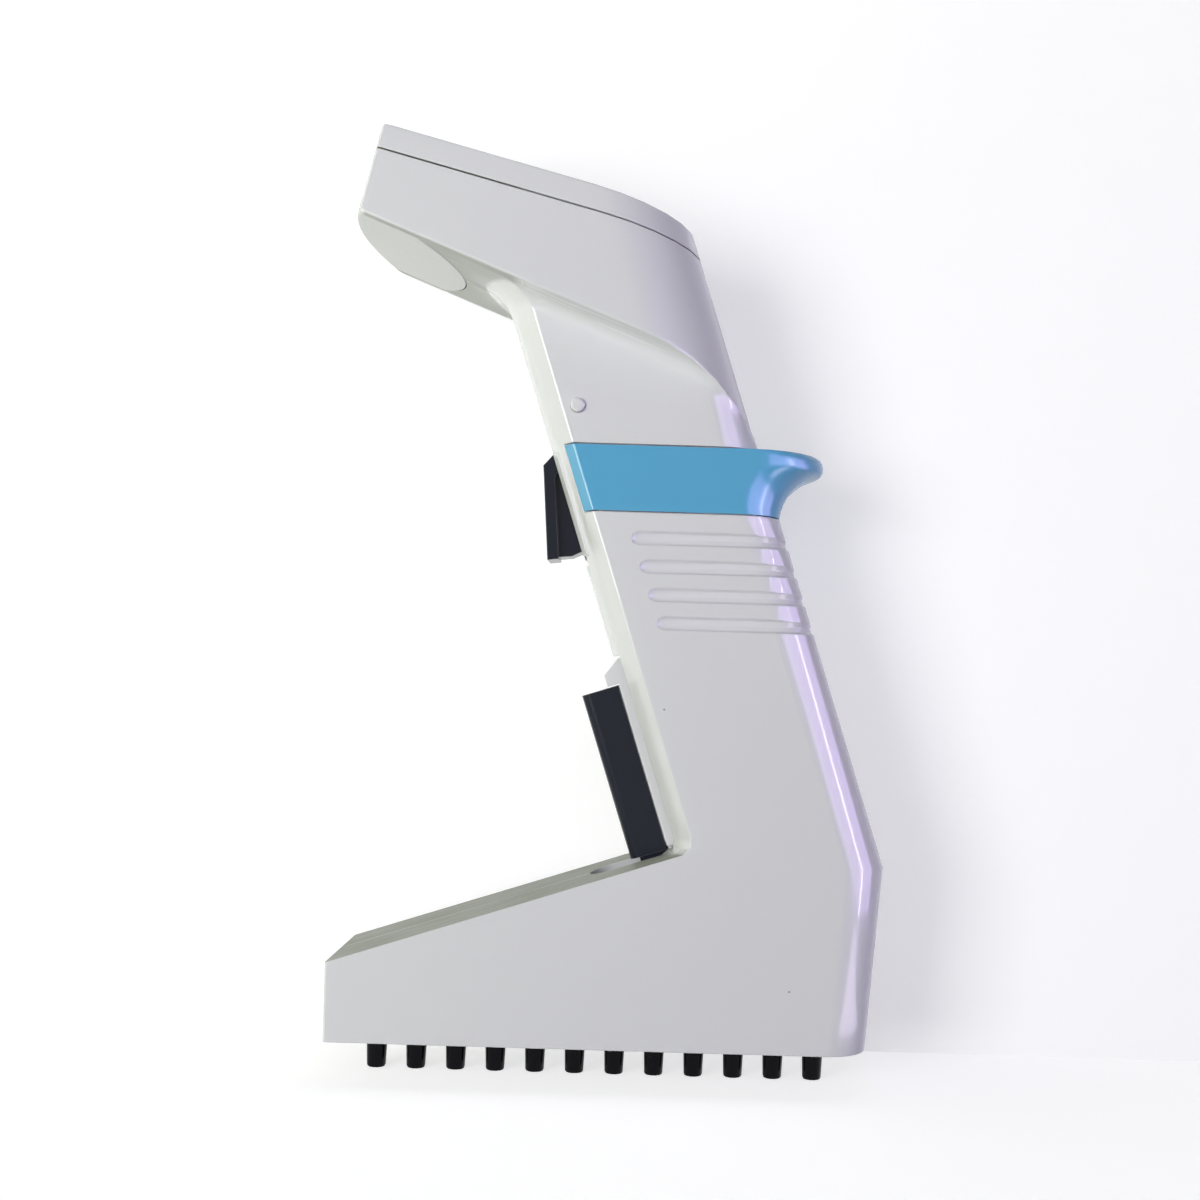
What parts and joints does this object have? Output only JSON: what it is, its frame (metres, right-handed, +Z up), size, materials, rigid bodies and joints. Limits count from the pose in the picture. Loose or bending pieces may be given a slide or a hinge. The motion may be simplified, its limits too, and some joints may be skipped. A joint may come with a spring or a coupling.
{
  "type": "electronic multichannel pipette",
  "caption": "Handheld electronic multichannel pipette with a leaning stem, finger hook, trigger, tip-eject lever, keypad head and a straight row of nozzles",
  "frame": {"origin": "under the middle of the pipette, at the level of the nozzle ends", "axes": "+Z up along the nozzles, -X towards the toe of the nozzle housing, +X towards the finger hook, Y across the width"},
  "size_m": [0.1216, 0.05, 0.2066],
  "materials": {
    "shell": "light grey moulded plastic, semi-gloss",
    "window": "dark tinted window",
    "lcd": "grey-green display panel",
    "key": "satin grey keys",
    "hook": "blue moulded plastic, semi-gloss",
    "black": "near-black moulded plastic, semi-gloss",
    "board": "green circuit board",
    "steel": "plain machined steel",
    "engineering": "pale engineering plastic",
    "rubber": "black seal rubber",
    "tubing": "pale air tubing and manifold",
    "cell": "sleeved battery cell"
  },
  "bodies": {
    "root": {"housing_left": "shell", "housing_right": "shell", "battery_cell_1": "cell", "battery_cell_2": "cell", "battery_contact_left": "steel", "battery_contact_right": "steel", "finger_hook": "hook", "display_cover": "shell", "display_window": "window", "lcd_panel": "lcd", "control_board": "board", "trigger_pin": "shell", "trigger_spring": "steel", "trigger_switch": "black", "eject_pin": "steel", "eject_spring": "steel", "nozzle_plate": "engineering", "nozzle_01": "black", "nozzle_02": "black", "nozzle_03": "black", "nozzle_04": "black", "nozzle_05": "black", "nozzle_06": "black", "nozzle_07": "black", "nozzle_08": "black", "nozzle_09": "black", "nozzle_10": "black", "nozzle_11": "black", "nozzle_12": "black", "cylinder_block": "engineering", "seal_plate": "rubber", "motor_bracket": "steel", "guide_rod_front": "steel", "guide_rod_back": "steel", "motor": "steel", "air_manifold": "tubing", "housing_screw_1": "steel", "housing_screw_2": "steel", "housing_screw_3": "steel"},
    "trigger_body": {"trigger": "black"},
    "eject_lever_body": {"eject_lever": "shell", "eject_grip": "black"},
    "eject_plate_body": {"eject_plate": "shell", "eject_cap": "engineering"},
    "piston_body": {"piston_plate": "steel", "lead_screw": "steel"},
    "battery_door_body": {"battery_door": "shell"},
    "key_1_body": {"key_1": "key"},
    "key_2_body": {"key_2": "key"},
    "key_3_body": {"key_3": "key"},
    "key_4_body": {"key_4": "key"},
    "key_5_body": {"key_5": "key"},
    "key_6_body": {"key_6": "key"}
  },
  "joints": [
    {"name": "trigger_hinge", "type": "hinge", "parent": "root", "child": "trigger_body", "pos_m": [-0.0095, 0, 0.1485], "axis": [0, -1, 0], "range_deg": [0, 6.5], "stiffness_Nm_per_rad": 0.3},
    {"name": "eject_lever_hinge", "type": "hinge", "parent": "root", "child": "eject_lever_body", "pos_m": [0.01762, 0, 0.04189], "axis": [0, 1, 0], "range_deg": [0, 4.05]},
    {"name": "eject_plate_slide", "type": "slide", "parent": "root", "child": "eject_plate_body", "axis": [0, 0, -1], "range_m": [0, 0.00243], "stiffness_N_per_m": 30, "springref_m": -0.0025, "deforming": ["eject_spring"]},
    {"name": "piston_drive", "type": "slide", "parent": "root", "child": "piston_body", "axis": [-0.314, 0, 0.9494], "range_m": [0, 0.022]},
    {"name": "battery_door_slide", "type": "slide", "parent": "root", "child": "battery_door_body", "axis": [-0.9311, 0, 0.3649], "range_m": [0, 0.02]},
    {"name": "key_1_press", "type": "slide", "parent": "root", "child": "key_1_body", "axis": [-0.2495, 0, -0.9684], "range_m": [0, 0.0005], "stiffness_N_per_m": 600},
    {"name": "key_2_press", "type": "slide", "parent": "root", "child": "key_2_body", "axis": [-0.2495, 0, -0.9684], "range_m": [0, 0.0005], "stiffness_N_per_m": 600},
    {"name": "key_3_press", "type": "slide", "parent": "root", "child": "key_3_body", "axis": [-0.2495, 0, -0.9684], "range_m": [0, 0.0005], "stiffness_N_per_m": 600},
    {"name": "key_4_press", "type": "slide", "parent": "root", "child": "key_4_body", "axis": [-0.2495, 0, -0.9684], "range_m": [0, 0.0005], "stiffness_N_per_m": 600},
    {"name": "key_5_press", "type": "slide", "parent": "root", "child": "key_5_body", "axis": [-0.2495, 0, -0.9684], "range_m": [0, 0.0005], "stiffness_N_per_m": 600},
    {"name": "key_6_press", "type": "slide", "parent": "root", "child": "key_6_body", "axis": [-0.2495, 0, -0.9684], "range_m": [0, 0.0005], "stiffness_N_per_m": 600}
  ],
  "couplings": [
    {"joint": "eject_lever_hinge", "follows": "eject_plate_slide", "rad_per_m": 28.752}
  ]
}
